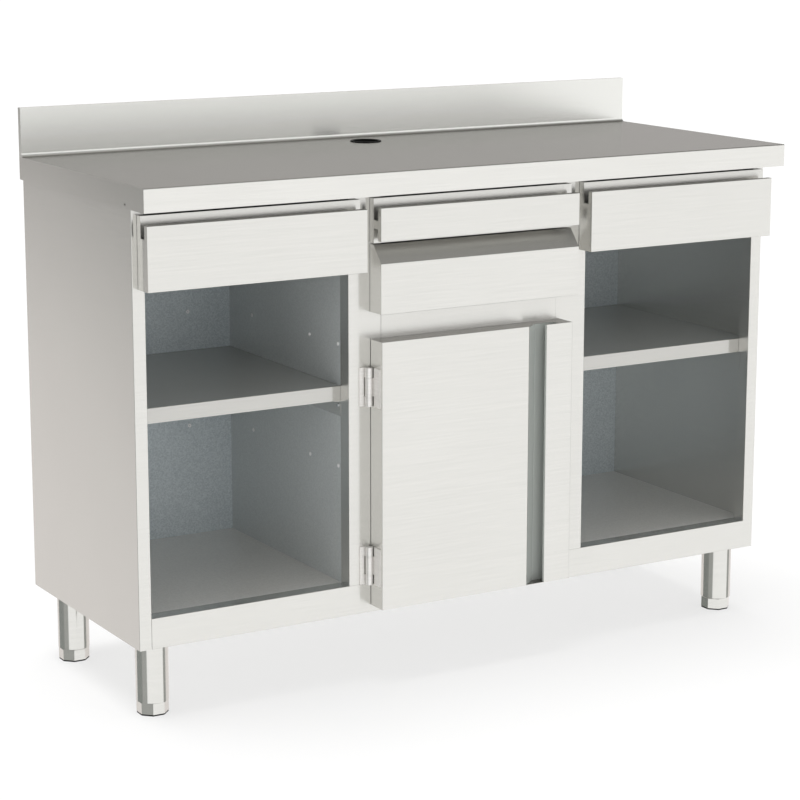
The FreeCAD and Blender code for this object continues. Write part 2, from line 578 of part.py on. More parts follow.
def make_drawers():
    outer_edge, inner_edge = f"({SIDE} - front_from_side)", f"({BAY_EDGE} - outer_front_cover)"
    centre_edge = f"({MIDDLE} + centre_front_cover)"
    centre = ((f"-{centre_edge}", centre_edge),
              ((f"-({MIDDLE} + sheet)", 1), (f"({MIDDLE} + sheet)", -1)))
    cells = {"left": ((f"-{outer_edge}", f"-{inner_edge}"), ((f"-{STILE_EDGE}", 1), (f"-{PARTITION}", -1))),
             "right": ((inner_edge, outer_edge), ((PARTITION, 1), (STILE_EDGE, -1)))}
    fixed = []
    for name, (edges, walls) in cells.items():
        fixed += make_drawer(name, edges, walls, outer_front, OUTER_BOX, "outer_box_height")
    fixed += make_drawer("upper", *centre, upper_front, UPPER_BOX, "upper_box_height")
    fixed += make_drawer("lower", *centre, lower_front, LOWER_BOX, "lower_box_height")
    keep(group(*fixed), "cabinet_slides")


# ---- Door: a skin folded into a finger channel, closed by a hollow handle ---------------------------

DOOR_FACE = f"({WORKTOP_FRONT} + door_face)"
DOOR_BACK = f"({FRONT} - door_gap)"
DOOR_LEFT = f"(-{MIDDLE} - door_left_cover)"
DOOR_RIGHT = f"({MIDDLE} + door_right_cover)"
DOOR_EDGE = f"({DOOR_RIGHT} - sheet)"
DOOR_BOTTOM = "(leg_height + door_above_base)"
DOOR_TOP = f"({CROSS_RAIL_BOTTOM} + door_top_cover)"
CHANNEL = f"({DOOR_FACE} + channel_depth)"


def make_door():
    foot = f"({DOOR_RIGHT} - channel_width)"
    head = f"({foot} + channel_slope)"
    fold = "sheet * tan(atan(channel_depth / channel_slope) / 2)"
    grip = f"({DOOR_RIGHT} - grip_width)"
    web = f"({DOOR_RIGHT} - grip_lip)"
    skin = profile("z", [
        (DOOR_LEFT, DOOR_BACK), (DOOR_LEFT, DOOR_FACE), (foot, DOOR_FACE), (head, CHANNEL),
        (DOOR_EDGE, CHANNEL), (DOOR_EDGE, f"{CHANNEL} + sheet"), (f"{head} - {fold}", f"{CHANNEL} + sheet"),
        (f"{foot} - {fold}", f"{DOOR_FACE} + sheet"), (f"{DOOR_LEFT} + sheet", f"{DOOR_FACE} + sheet"),
        (f"{DOOR_LEFT} + sheet", DOOR_BACK)], DOOR_BOTTOM, DOOR_TOP)
    pad(skin, "z", [
        (DOOR_LEFT, DOOR_BACK), (DOOR_LEFT, DOOR_FACE), (foot, DOOR_FACE), (head, CHANNEL),
        (DOOR_EDGE, CHANNEL), (DOOR_EDGE, DOOR_BACK)], f"{DOOR_TOP} - sheet", DOOR_TOP)
    pad(skin, "z", [
        (DOOR_LEFT, DOOR_BACK), (DOOR_LEFT, DOOR_FACE), (grip, DOOR_FACE),
        (grip, f"{DOOR_FACE} + grip_thickness"), (web, f"{DOOR_FACE} + grip_thickness"), (web, CHANNEL),
        (DOOR_EDGE, CHANNEL), (DOOR_EDGE, DOOR_BACK)], DOOR_BOTTOM, f"{DOOR_BOTTOM} + sheet")
    keep(bend(skin, "z", (DOOR_LEFT, DOOR_FACE), (foot, DOOR_FACE)), "door_skin")
    keep(box(f"{DOOR_LEFT} + sheet", DOOR_EDGE, f"{DOOR_BACK} - sheet", DOOR_BACK, f"{DOOR_BOTTOM} + sheet",
             f"{DOOR_TOP} - sheet"), "door_inner_panel")
    behind = f"({DOOR_FACE} + grip_thickness)"
    handle = profile("z", [
        (DOOR_RIGHT, DOOR_BACK), (DOOR_RIGHT, DOOR_FACE), (grip, DOOR_FACE), (grip, behind),
        (web, behind),
        (web, CHANNEL), (f"{web} + sheet", CHANNEL), (f"{web} + sheet", f"{behind} - sheet"),
        (f"{grip} + sheet", f"{behind} - sheet"), (f"{grip} + sheet", f"{DOOR_FACE} + sheet"),
        (DOOR_EDGE, f"{DOOR_FACE} + sheet"), (DOOR_EDGE, DOOR_BACK)], DOOR_BOTTOM, DOOR_TOP)
    keep(bend(handle, "z", (DOOR_RIGHT, DOOR_FACE), (grip, DOOR_FACE)), "door_handle")
    caps = [box(f"{web} + sheet", DOOR_EDGE, f"{DOOR_FACE} + sheet", CHANNEL, low, f"{low} + sheet")
            for low in (DOOR_BOTTOM, f"({DOOR_TOP} - sheet)")]
    keep(group(*caps), "door_handle_caps")


# ---- Hinges: two rolled leaves and a pin, at two heights --------------------------------------------

AXIS_X = f"({DOOR_LEFT} - hinge_barrel_dia / 2 - hinge_play)"
AXIS_Y = f"({FRONT} - hinge_barrel_dia / 2 - hinge_play)"
HINGE_HEIGHTS = (f"({DOOR_BOTTOM} + hinge_from_bottom)", f"({DOOR_TOP} - hinge_from_top)")


def barrel(low, high, radius="hinge_barrel_dia / 2"):
    return rod(radius, AXIS_X, AXIS_Y, low, f"({high}) - ({low})")


def make_hinges():
    frame_leaves, door_leaves, pins = [], [], []
    for middle in HINGE_HEIGHTS:
        low, high = f"({middle} - hinge_length / 2)", f"({middle} + hinge_length / 2)"
        knuckle_low, knuckle_high = f"({middle} - hinge_knuckle / 2)", f"({middle} + hinge_knuckle / 2)"
        room = "(hinge_barrel_dia / 2 + 2 * hinge_play)"
        plate = box(f"{DOOR_LEFT} - hinge_frame_reach", AXIS_X, f"{FRONT} - hinge_leaf", FRONT, low, high)
        slot = box(f"{AXIS_X} - {room}", f"{AXIS_X} + {PAST}", f"{FRONT} - hinge_leaf - {PAST}",
                   f"{FRONT} + {PAST}", knuckle_low, knuckle_high)
        leaf = joined(cut(plate, slot), barrel(low, knuckle_low), barrel(knuckle_high, high))
        frame_leaves.append(cut(leaf, barrel(f"{low} - {PAST}", f"{high} + {PAST}", "hinge_pin_dia / 2")))
        plate = box(f"{DOOR_LEFT} - hinge_leaf", DOOR_LEFT, f"{FRONT} - hinge_door_reach", AXIS_Y, low, high)
        slots = [box(f"{DOOR_LEFT} - hinge_leaf - {PAST}", f"{DOOR_LEFT} + {PAST}", f"{AXIS_Y} - {room}",
                     f"{AXIS_Y} + {PAST}", bottom, top)
                 for bottom, top in ((f"{low} - {PAST}", f"{knuckle_low} + hinge_play"),
                                     (f"{knuckle_high} - hinge_play", f"{high} + {PAST}"))]
        knuckle = barrel(f"{knuckle_low} + hinge_play", f"{knuckle_high} - hinge_play")
        leaf = joined(cut(plate, *slots), knuckle)
        door_leaves.append(cut(leaf, barrel(low, high, "hinge_pin_dia / 2 + pin_clearance")))
        pins.append(barrel(low, high, "hinge_pin_dia / 2"))
    keep(group(*frame_leaves), "frame_hinge_leaves")
    keep(group(*door_leaves), "door_hinge_leaves")
    keep(group(*pins), "hinge_pins")


def make_catch():
    middle = f"(({DOOR_BOTTOM} + {DOOR_TOP}) / 2)"
    left = f"{MIDDLE} - catch_width"
    plate = f"({DOOR_BACK} + strike_thickness)"
    reach = "(catch_height / 2 - strike_margin)"
    keep(box(left, MIDDLE, f"{plate} + catch_gap", f"{FRONT} + catch_depth", f"{middle} - catch_height / 2",
             f"{middle} + catch_height / 2"), "door_catch")
    keep(box(left, f"{MIDDLE} - strike_thickness", DOOR_BACK, plate, f"{middle} - {reach}",
             f"{middle} + {reach}"), "catch_strike")


# ---- Legs: tubes welded to plates under the floor, with feet that screw in and out -------------------

LEG_X = f"({SIDE} - leg_from_side)"
LEG_ROWS = {"front": f"({FRONT} + leg_from_front)", "rear": f"({REAR} - leg_from_back)"}


def make_leg_bearers():
    low, high = "(leg_height + leg_plate_thickness)", f"({FLOOR_TOP} - sheet)"
    left, right = f"-{LEG_X} - bearer_tube_width / 2", f"-{LEG_X} + bearer_tube_width / 2"
    rear = f"{BACK_FACE} - sheet"
    outside = box(left, right, RETURN_END, rear, low, high)
    inside = box(f"{left} + bearer_tube_wall", f"{right} - bearer_tube_wall", f"{RETURN_END} - {PAST}",
                 f"{rear} + {PAST}", f"{low} + bearer_tube_wall", f"{high} - bearer_tube_wall")
    tube = cut(outside, inside)
    keep(group(tube, mirrored(tube)), "leg_bearers")


def screw_foot(x, y):
    """An eight-sided foot with a bevelled shoulder, and a round neck and a stud that go up into the leg."""
    ridge = "(foot_shoulder - foot_bevel)"
    wide, narrow = "foot_across_corners / 2", "foot_top_across_corners / 2"
    body = prism(8, wide, x, y, "pad_thickness", f"{ridge} - pad_thickness")
    bevel = document.addObject("Part::Loft", "bevel")
    bevel.Solid = bevel.Ruled = True
    rings = []
    for radius, level in ((wide, ridge), (narrow, "foot_shoulder")):
        ring = document.addObject("Part::RegularPolygon", "ring")
        ring.Polygon = 8
        ring.Placement = Placement(Vector(), Rotation(Vector(0, 0, 1), 180 / ring.Polygon))
        rings.append(bind(ring, Circumradius=radius, Placement__Base__x=x, Placement__Base__y=y,
                          Placement__Base__z=level))
    bevel.Sections = rings
    neck = rod("neck_dia / 2", x, y, "foot_shoulder", "foot_top - foot_shoulder")
    return joined(body, bevel, neck, rod("stud_dia / 2", x, y, "foot_top", "stud_top - foot_top"))


def make_legs():
    legs, inserts, screws = [], [], []
    for row, y in LEG_ROWS.items():
        for side, sign in (("left", "-"), ("right", "")):
            x = f"{sign}{LEG_X}"
            reach = "leg_plate / 2"
            plate = box(f"{x} - {reach}", f"{x} + {reach}", f"{y} - {reach}", f"{y} + {reach}", "leg_height",
                        "leg_height + leg_plate_thickness")
            length = "leg_height - tube_above_floor"
            tube = cut(rod("leg_dia / 2", x, y, "tube_above_floor", length),
                       rod("leg_dia / 2 - leg_wall", x, y, "tube_above_floor", length))
            legs.append(joined(plate, tube))
            seat = "foot_top + insert_gap"
            inserts.append(cut(rod("leg_dia / 2 - leg_wall", x, y, seat, "insert_thickness"),
                               rod("stud_dia / 2 + stud_clearance", x, y, seat, "insert_thickness")))
            screws += [prism(6, "plate_screw_dia / 2", f"{x} + {across} * plate_screw_pitch / 2",
                             f"{y} + {along} * plate_screw_pitch / 2", "leg_height - plate_screw_head",
                             "plate_screw_head") for across in (-1, 1) for along in (-1, 1)]
            keep(screw_foot(x, y), f"{row}_{side}_foot")
            keep(prism(8, "foot_across_corners / 2 - pad_inset", x, y, "0", "pad_thickness"),
                 f"{row}_{side}_pad")
    keep(group(*legs), "legs")
    keep(group(*inserts), "leg_inserts")
    keep(group(*screws), "plate_screws")


def write_parts():
    """Checks the document and writes each sub-part to a file of its own."""
    document.recompute()
    for item in document.Objects:
        assert not {"Invalid", "Error"} & set(item.State), f"{item.Name} ({item.Label}) failed"
    labels = [item.Label for item in sub_parts]
    assert len(set(labels)) == len(labels), "two sub-parts share a name"
    os.makedirs("parts", exist_ok=True)
    for item in sub_parts:
        assert not item.Shape.isNull() and item.Shape.isValid(), f"{item.Label} has no valid shape"
        assert item.Shape.Solids, f"{item.Label} has no solid"
        item.Shape.exportStep(f"parts/{item.Label}.step")
    print(len(sub_parts), "sub-parts,", sum(len(item.Shape.Solids) for item in sub_parts), "solids")


for make in (make_worktop, make_stiffeners, make_grommet, make_side_panels, make_centre_stiles,
             make_partitions, make_rails, make_floor, make_back_panel, make_slide_carriers,
             make_slide_spacers, make_shelves, make_shelf_bearers, make_shelf_fixings, make_drawers,
             make_door, make_hinges, make_catch, make_leg_bearers, make_legs):
    make()
write_parts()
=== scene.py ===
# %% [markdown]
# # A stainless back counter, dressed and lit
#
# The counter is folded from thin stainless sheet: a worktop with an upstand, four drawers, a door
# with a finger channel, two open bays with a shelf each, and four tube legs on screw feet. Its solids
# come ready made from the frame. This notebook gives every surface its finish, adds the small pieces
# that give a folded sheet cabinet its scale, and sets up a plain studio round it.

# %% Load the solids
import json
import math

import bmesh
import bpy
from mathutils import Matrix, Vector


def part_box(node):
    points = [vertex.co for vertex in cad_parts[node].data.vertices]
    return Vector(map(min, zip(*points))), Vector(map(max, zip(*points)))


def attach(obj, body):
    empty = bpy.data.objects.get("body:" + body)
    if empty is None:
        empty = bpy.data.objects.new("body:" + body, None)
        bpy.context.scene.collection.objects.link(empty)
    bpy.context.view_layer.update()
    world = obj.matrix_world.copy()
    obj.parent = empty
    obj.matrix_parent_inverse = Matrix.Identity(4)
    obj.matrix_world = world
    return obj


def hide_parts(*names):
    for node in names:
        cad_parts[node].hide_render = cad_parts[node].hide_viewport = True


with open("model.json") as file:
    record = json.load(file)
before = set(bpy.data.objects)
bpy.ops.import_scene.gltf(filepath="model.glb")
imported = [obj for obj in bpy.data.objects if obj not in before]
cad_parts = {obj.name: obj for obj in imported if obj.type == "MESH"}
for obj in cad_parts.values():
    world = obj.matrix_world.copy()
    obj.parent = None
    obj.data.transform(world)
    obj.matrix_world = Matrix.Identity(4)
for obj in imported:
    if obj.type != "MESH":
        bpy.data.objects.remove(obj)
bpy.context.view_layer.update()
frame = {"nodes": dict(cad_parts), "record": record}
nodes = frame["nodes"]
MM = 0.001

# %% [markdown]
# ## Colours
#
# Blender works with linear light, while a colour is easiest to name as an sRGB hex value. The linear
# numbers could be worked out beforehand, but nobody can read a colour from them. So one function
# turns the one into the other, and every colour below stays a hex value.


# %% From hex to linear light
def linear(hex_colour):
    """An sRGB hex value such as "#c0c0c0" as the linear colour that Blender's nodes use."""
    channels = [int(hex_colour[at:at + 2], 16) / 255 for at in (1, 3, 5)]
    return (*[c / 12.92 if c <= 0.04045 else ((c + 0.055) / 1.055) ** 2.4 for c in channels], 1)


WHITE = linear("#ffffff")
print("The grey #808080 is", round(linear("#808080")[0], 3), "in linear light")

# %% [markdown]
# ## Nodes
#
# The finishes, the room and the floor are all trees of nodes. They could be wired by hand in the
# shader editor, but a script can be read and run again. Written out, each node takes four or five
# lines, so `add_node` adds one with its settings and links in a single line. The helpers after it
# are for the kinds that come up again and again, and each gives back the socket to go on from.


# %% Node helpers
def add_node(tree, kind, inputs=None, **settings):
    """Adds a node, sets its properties, and sets or links its inputs; gives back the node."""
    node = tree.nodes.new(kind)
    for setting, value in settings.items():
        setattr(node, setting, value)
    for socket, value in (inputs or {}).items():
        if isinstance(value, bpy.types.NodeSocket):
            tree.links.new(value, node.inputs[socket])
        else:
            node.inputs[socket].default_value = value
    return node


def calculate(tree, operation, *values):
    """One step of arithmetic, such as "ADD", on numbers or sockets."""
    return add_node(tree, "ShaderNodeMath", dict(enumerate(values)), operation=operation).outputs[0]


def axis_of(tree, vector, axis):
    """The X, Y or Z of a vector."""
    return add_node(tree, "ShaderNodeSeparateXYZ", {0: vector}).outputs[axis]


def ramp(tree, value, low, high, start=0.0, end=1.0, interpolation="LINEAR"):
    """Turns what lies between low and high into what lies between start and end, and stays in there."""
    limits = {"Value": value, "From Min": low, "From Max": high, "To Min": start, "To Max": end}
    return add_node(tree, "ShaderNodeMapRange", limits, interpolation_type=interpolation).outputs[0]


def mix(tree, share, first, second, blend="MIX"):
    """A colour between two others: the first where the share is 0, the second where it is 1."""
    inputs = {0: share, 6: first, 7: second}
    return add_node(tree, "ShaderNodeMix", inputs, data_type="RGBA", blend_type=blend).outputs["Result"]


# %% [markdown]
# ## Camera
#
# A long lens, to the left of the counter and a little above it, shows the worktop, the front and the
# left side together. It could be aimed by eye, but then neither its lens nor its tilt would be right.
# Here its place was solved from the counter's own right angles, which gives all of them together.

# %% Camera
LENS = 108.8
CAMERA_PLACE = (-2.5683, -4.2972, 1.5950)
CAMERA_PITCH = 11.501
CAMERA_YAW = 30.433
CAMERA_SHIFT = (0.0093, -0.0353)
FARTHEST_SEEN = 200

camera_data = bpy.data.cameras.new("camera")
camera_data.lens = LENS
camera_data.shift_x, camera_data.shift_y = CAMERA_SHIFT
camera_data.clip_end = FARTHEST_SEEN
camera = bpy.data.objects.new("camera", camera_data)
camera.location = CAMERA_PLACE
camera.rotation_euler = (math.radians(90 - CAMERA_PITCH), 0, math.radians(-CAMERA_YAW))
bpy.context.scene.collection.objects.link(camera)
bpy.context.scene.camera = camera
print("The camera stands", round(Vector(CAMERA_PLACE).length, 2), "m from the counter's foot")

# %% [markdown]
# ## Studio
#
# Stainless steel has next to no colour of its own: what it shows is the room. So the room is the most
# important part of how a steel counter looks. In a studio, grey flats stand round such a thing, out
# of sight, to give each fold a light side and a dark side. They could be real boards, but those would
# throw shadows and need placing by trial. Here they are painted on the world, by their heading and
# height, to the left, to the right and behind.

# %% The world and its directions
world = bpy.data.worlds.new("studio")
world.use_nodes = True
bpy.context.scene.world = world
sky = world.node_tree
sky.nodes.clear()
direction = add_node(sky, "ShaderNodeTexCoord").outputs["Generated"]
elevation = calculate(sky, "DEGREES", calculate(sky, "ARCSINE", axis_of(sky, direction, "Z")))


def between(start, end, soft, slant):
    """1 between two headings, in degrees from straight in front towards the right, and 0 elsewhere.
    A slant leans the edges that many degrees for each one of height. The world is turned so that the
    middle heading lies along X, where a flat can't straddle the jump from 180 to -180 degrees."""
    middle, half_width = (start + end) / 2, (end - start) / 2
    turned = add_node(sky, "ShaderNodeVectorRotate",
                      {"Vector": direction, "Angle": math.radians(90 - middle)},
                      rotation_type="Z_AXIS").outputs[0]
    aside = calculate(sky, "ARCTAN2", axis_of(sky, turned, "Y"), axis_of(sky, turned, "X"))
    aside = calculate(sky, "MULTIPLY_ADD", elevation, -slant, calculate(sky, "DEGREES", aside))
    return ramp(sky, calculate(sky, "ABSOLUTE", aside), half_width + soft / 2, half_width - soft / 2,
                interpolation="SMOOTHSTEP")


def above(low, high):
    """0 below one height in degrees and 1 above another."""
    return ramp(sky, elevation, low, high, interpolation="SMOOTHSTEP")


print("The world is measured in degrees of heading and height")

# %% Grey flats
# Each flat: its tone, the headings that it stands between, the softness of its two sides, their slant,
# and the two heights between which it fades in. A flat that fades in nowhere is as tall as the room.
FLATS = (("#777775", 62, 330, 20, 0, (2, 9)),
         ("#e4dfdd", 82, 209, 6, 0, None),
         ("#dad8d6", 100, 178, 16, 0, (2, 7)),
         ("#929490", 59, 82, 5, 0, None),
         ("#777b78", -161.9, -72.9, 5, -0.64, None),
         ("#4c4e4c", -190, -120, 12, 0, (-11, 0)),
         ("#9a9c99", -96, -62, 12, 0, None))
room = WHITE
for tone, start, end, soft, slant, fade in FLATS:
    share = between(start, end, soft, slant)
    if fade:
        share = calculate(sky, "MULTIPLY", share, above(*fade))
    room = mix(sky, share, room, linear(tone))
print(len(FLATS), "flats stand in a white room")

# %% [markdown]
# Three kinds of light ask the world for its colour, and a Light Path node tells them apart. What the
# steel mirrors gets the flats. What falls on matt faces gets a plain white room, or the flats would
# darken the bays. What the camera sees straight, or through glass, gets an even white backdrop. A grey
# ceiling, lighter in its middle, hangs over both the flats and the white room.


# %% Ceiling and backdrop
def eye(tree):
    """1 for what is seen straight or through glass, and 1 for that and what metal mirrors as well."""
    path = add_node(tree, "ShaderNodeLightPath").outputs
    straight = calculate(tree, "MAXIMUM", path["Is Camera Ray"], path["Is Transmission Ray"])
    return straight, calculate(tree, "MAXIMUM", straight, path["Is Glossy Ray"])


ROOM_LIGHT = 1.2
# Each ring of the ceiling: its tone, and the two heights between which it fades in.
CEILING = (("#8c8c8a", 24, 42), ("#dededc", 48, 70))
sight, mirrored = eye(sky)
room = mix(sky, mirrored, WHITE, room)
for tone, low, high in CEILING:
    room = mix(sky, above(low, high), room, linear(tone))
lit_room = add_node(sky, "ShaderNodeBackground", {"Color": room, "Strength": ROOM_LIGHT})
backdrop = add_node(sky, "ShaderNodeBackground", {"Color": WHITE, "Strength": 1.0})
shown = add_node(sky, "ShaderNodeMixShader", {0: sight, 1: lit_room.outputs[0], 2: backdrop.outputs[0]})
add_node(sky, "ShaderNodeOutputWorld", {"Surface": shown.outputs[0]})
print("The world has", len(sky.nodes), "nodes")

# %% [markdown]
# ## Floor
#
# The floor is a matt white board. Plain matt white would come out grey beside the backdrop, and a
# board that only glows would take no shadow. So most of what the eye gets from it is a white glow, and
# the rest is the light that really falls on it. The steel doesn't mirror this board: the lower half of
# the world stands in for it, as white in front as the floor is, and grey where the flats are.

# %% Floor
FLOOR_SIZE = 120
FLOOR_GLOW = 0.66
BOARD_TONE = "#f4f4f4"
bpy.ops.mesh.primitive_plane_add(size=FLOOR_SIZE, location=(0, 0, 0))
floor = bpy.context.active_object
floor.name = "floor"
board = bpy.data.materials.new("matt_white_board")
board.use_nodes = True
board_tree = board.node_tree
board_tree.nodes.clear()
matt = add_node(board_tree, "ShaderNodeBsdfDiffuse", {"Color": linear(BOARD_TONE)})
glow = add_node(board_tree, "ShaderNodeEmission", {"Color": WHITE, "Strength": 1.0})
glow_share = calculate(board_tree, "MULTIPLY", eye(board_tree)[1], FLOOR_GLOW)
surface = add_node(board_tree, "ShaderNodeMixShader",
                   {0: glow_share, 1: matt.outputs[0], 2: glow.outputs[0]})
add_node(board_tree, "ShaderNodeOutputMaterial", {"Surface": surface.outputs[0]})
floor.data.materials.append(board)
floor.visible_glossy = False
print("The floor is", FLOOR_SIZE, "m wide")

# %% [markdown]
# ## Key light
#
# The room alone would light the counter from everywhere and leave it floating. One lamp, almost
# straight overhead, lays a shadow under it. A small lamp would draw that shadow's edge, so this one
# is as wide as a bank of softboxes, and it is hidden from the steel, which would mirror it as a spot.

# %% Key light
SUN_WIDTH = 35
SUN_STRENGTH = 1.8
SUN_FROM = (-0.12, 0.1, 1.0)
sun_data = bpy.data.lights.new("key_light", "SUN")
sun_data.angle = math.radians(SUN_WIDTH)
sun_data.energy = SUN_STRENGTH
sun = bpy.data.objects.new("key_light", sun_data)
sun.rotation_euler = Vector(SUN_FROM).to_track_quat("Z", "Y").to_euler()
sun.visible_glossy = False
bpy.context.scene.collection.objects.link(sun)
print("The key light is", SUN_WIDTH, "degrees wide")

# %% [markdown]
# ## Brushed steel
#
# Stainless steel, EN 1.4301, comes from the mill and is brushed with a belt, which leaves fine
# parallel scratches along the sheet. A scan of such a sheet would repeat or end somewhere on a
# counter of this length. A noise that is stretched along the sheet never does, and it can be as
# coarse as it has to be to show from a few metres away. A second, wide noise clouds it a little.

# %% Streaks along the sheet
GRAIN_LENGTH = 110 * MM
GRAIN_WIDTH = 1.7 * MM
GRAIN_DETAIL, GRAIN_ROUGHNESS = 3.0, 0.6
CLOUD = 260 * MM
CLOUD_DETAIL = 2.0


def place_on_part(tree):
    """Where a point of the surface lies on the counter, in metres from its origin."""
    return add_node(tree, "ShaderNodeTexCoord").outputs["Object"]


def clouds_on(tree, place):
    """A noise so wide that a sheet shows only a few clouds of it, between 0 and 1."""
    inputs = {"Vector": place, "Scale": 1 / CLOUD, "Detail": CLOUD_DETAIL}
    return add_node(tree, "ShaderNodeTexNoise", inputs).outputs["Fac"]


def streaks_on(tree, place, across):
    """Streaks between 0 and 1. The axes that run across them are given as letters."""
    scale = [1 / GRAIN_WIDTH if axis in across else 1 / GRAIN_LENGTH for axis in "xyz"]
    stretched = add_node(tree, "ShaderNodeMapping", {"Vector": place, "Scale": scale}).outputs[0]
    inputs = {"Vector": stretched, "Scale": 1.0, "Detail": GRAIN_DETAIL, "Roughness": GRAIN_ROUGHNESS}
    return add_node(tree, "ShaderNodeTexNoise", inputs).outputs["Fac"]


print("Streaks are", GRAIN_WIDTH / MM, "mm wide and about", GRAIN_LENGTH / MM, "mm long")

# %% [markdown]
# One folded sheet has faces of more than one look. Its level faces are seen at a low angle and are
# darkened by a painted shade, and inside a fold, as in the door's finger channel, the steel is dull. Such
# faces could be given a second material each, but the mesh of a solid is left as it is. So the material
# itself asks where a point lies and which way it looks, and the answer is a share between 0 and 1.

# %% Which faces a tone is for
LEVEL_FROM, LEVEL_TO = 0.4, 0.95
SKIN = 1.2 * MM


def facing_of(tree, axis):
    """How far the surface looks along X, Y or Z: 1 for fully, 0 for not at all."""
    return axis_of(tree, add_node(tree, "ShaderNodeNewGeometry").outputs["Normal"], axis)


def looking_up(tree):
    """1 on a face that looks straight up, and 0 on an upright one."""
    return ramp(tree, facing_of(tree, "Z"), LEVEL_FROM, LEVEL_TO)


def behind(node):
    """1 on what lies behind the front face of a node, and 0 on that face."""
    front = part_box(node)[0][1] + SKIN

    def share(tree):
        return calculate(tree, "GREATER_THAN", axis_of(tree, place_on_part(tree), "Y"), front)
    return share


def vector_step(tree, operation, *values):
    """One step of arithmetic on vectors."""
    return add_node(tree, "ShaderNodeVectorMath", dict(enumerate(values)), operation=operation).outputs[0]


def within(low, high):
    """1 inside the outer skin of the box between two corners, and 0 on its faces and outside it."""
    middle, half = (low + high) / 2, (high - low) / 2 - Vector((SKIN, SKIN, SKIN))

    def share(tree):
        offset = vector_step(tree, "ABSOLUTE", vector_step(tree, "SUBTRACT", place_on_part(tree), middle))
        over = vector_step(tree, "SUBTRACT", offset, half)
        most = calculate(tree, "MAXIMUM", axis_of(tree, over, "X"), axis_of(tree, over, "Y"))
        most = calculate(tree, "MAXIMUM", most, axis_of(tree, over, "Z"))
        return calculate(tree, "LESS_THAN", most, 0.0)
    return share


print("An outer skin is taken to be", SKIN / MM, "mm thick")

# %% [markdown]
# Scratches blur a mirror image across their run and keep it fairly sharp along it. Each scratch could
# be a real groove in the bump, but grooves finer than a pixel only flicker. So the blur is left to
# the Principled shader: its Anisotropic value says how much wider it is one way, and its Tangent
# which way. Only a trace of bump is kept, for the light that runs along a streak.

# %% Brushed steel
CLOUD_SHARE = 0.4
TONES_FROM, TONES_TO = 0.5, 0.9
STREAKS_FROM, STREAKS_TO = 0.3, 0.7
ROUGHNESS_SWING = 0.015
SCRATCH_STRENGTH, SCRATCH_DEPTH = 0.003, 0.1 * MM
BLUR_LEAN = 0.02
LEVEL_ROUGHNESS = 0.27


def new_material(name):
    """A new material, with its node tree and its main shader."""
    material = bpy.data.materials.new(name)
    material.use_nodes = True
    return material, material.node_tree, material.node_tree.nodes["Principled BSDF"]


def paint_shade(tree, share, colour, tone):
    """The colour, darkened by the tone where the share is 1, as painted shade."""
    return mix(tree, share, colour, mix(tree, 1.0, colour, linear(tone), blend="MULTIPLY"))


def brushed_steel(name, light, dark, roughness, spread=0.85, across="z", metallic=0.85, level=None,
                  inner_or_lit=None, inner_or_lit_tone="#ffffff", inner_metallic=0.3):
    """Belt-brushed stainless sheet between two tones. The spread is how much wider it blurs across its
    scratches than along them. Its level faces are darkened by the level tone, which is painted shade.
    Where the share for an inside or a lit face says so, the sheet has one plain tone of its own, which is
    a duller inside on the door and the shelves and painted light on the worktop's upstand."""
    material, tree, shader = new_material(name)
    place = place_on_part(tree)
    streaks = streaks_on(tree, place, across)
    clouded = calculate(tree, "MULTIPLY_ADD", clouds_on(tree, place), CLOUD_SHARE, streaks)
    colour = mix(tree, ramp(tree, clouded, TONES_FROM, TONES_TO), linear(dark), linear(light))
    rough = ramp(tree, streaks, STREAKS_FROM, STREAKS_TO, roughness - ROUGHNESS_SWING,
                 roughness + ROUGHNESS_SWING)
    scratches = add_node(tree, "ShaderNodeBump", {"Height": streaks, "Strength": SCRATCH_STRENGTH,
                                                  "Distance": SCRATCH_DEPTH})
    blur_way = add_node(tree, "ShaderNodeCombineXYZ", {"X": 0.0, "Y": BLUR_LEAN, "Z": 1.0})
    shader.inputs["Metallic"].default_value = metallic
    shader.inputs["Anisotropic"].default_value = spread
    # The level tone is painted shade on the faces that look up.
    if level:
        rise = looking_up(tree)
        colour = paint_shade(tree, rise, colour, level)
        rough = ramp(tree, rise, 0.0, 1.0, rough, LEVEL_ROUGHNESS)
    if inner_or_lit:
        where = inner_or_lit(tree)
        colour = mix(tree, where, colour, linear(inner_or_lit_tone))
        tree.links.new(ramp(tree, where, 0.0, 1.0, metallic, inner_metallic), shader.inputs["Metallic"])
    tree.links.new(blur_way.outputs[0], shader.inputs["Tangent"])
    tree.links.new(colour, shader.inputs["Base Color"])
    tree.links.new(rough, shader.inputs["Roughness"])
    tree.links.new(scratches.outputs[0], shader.inputs["Normal"])
    print(name, "runs from", dark, "to", light)
    return material


# %% [markdown]
# The drawer fronts, the door, the shelves and the carcass are cut from the same satin sheet. They could
# all share one material. They have four, because only some of them have level faces that show and take the
# painted shade, only the door and the shelves show their insides, and the shelves' lips are painted darker
# as the shade of the bays that they sit in.

# %% Fronts, door, shelves and carcass
# The third tone is painted shade for the level faces, which are seen at a low angle.
LIGHT, DARK, LEVEL_SHADE = "#dad9d5", "#d5d4d0", "#aba9a7"
SATIN = 0.2
door_corners = Vector(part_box("door_skin")[0]), Vector(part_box("door_handle")[1])
front_steel = brushed_steel("brushed_steel_front", LIGHT, DARK, SATIN, level=LEVEL_SHADE)
door_steel = brushed_steel("brushed_steel_door", LIGHT, DARK, SATIN, level=LEVEL_SHADE,
                           inner_or_lit=within(*door_corners), inner_or_lit_tone="#c4c8c4")
# The shelves' tones are darker than the fronts', as painted shade for the bays.
shaded_shelf_steel = brushed_steel("brushed_steel_shelf_painted_shade", "#c3c2be", "#bebdb9", SATIN,
                            inner_or_lit=behind("left_shelf"), inner_or_lit_tone="#bebfbc")
carcass_steel = brushed_steel("brushed_steel_carcass", LIGHT, DARK, SATIN)
